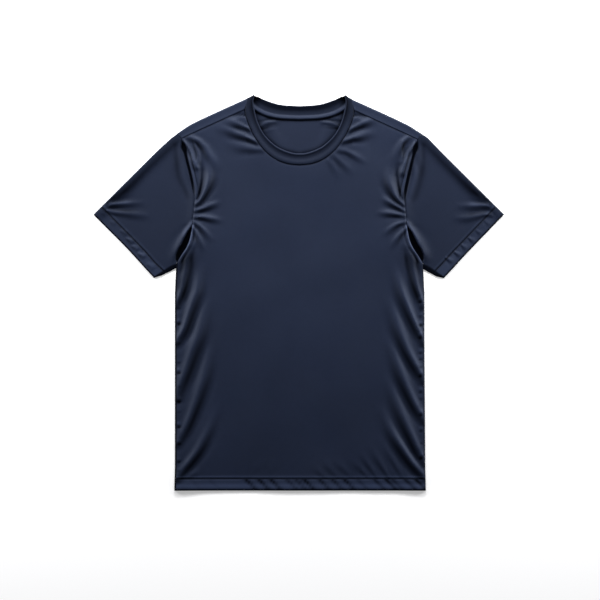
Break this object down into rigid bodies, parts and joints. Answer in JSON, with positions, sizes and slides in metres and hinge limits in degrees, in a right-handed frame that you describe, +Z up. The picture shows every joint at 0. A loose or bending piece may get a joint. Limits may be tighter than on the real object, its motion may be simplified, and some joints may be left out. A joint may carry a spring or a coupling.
{
  "type": "crew neck t-shirt",
  "caption": "Short-sleeved crew neck t-shirt in smooth satin jersey, laid out flat with its sleeves spread, soft folds at the side seams and armholes.",
  "frame": {"origin": "middle of the shirt's outline, on the surface that it lies on", "axes": "+X from one sleeve to the other, +Y from the hem to the neck, +Z up, out of the shirt's front"},
  "size_m": [0.818, 0.7888, 0.0092],
  "materials": {
    "jersey": "satin polyester jersey, navy",
    "neckband_jersey": "the same jersey folded double, navy"
  },
  "bodies": {
    "root": {"front": "jersey", "back": "jersey", "sleeve_left": "jersey", "sleeve_right": "jersey", "neckband": "neckband_jersey"}
  },
  "joints": []
}
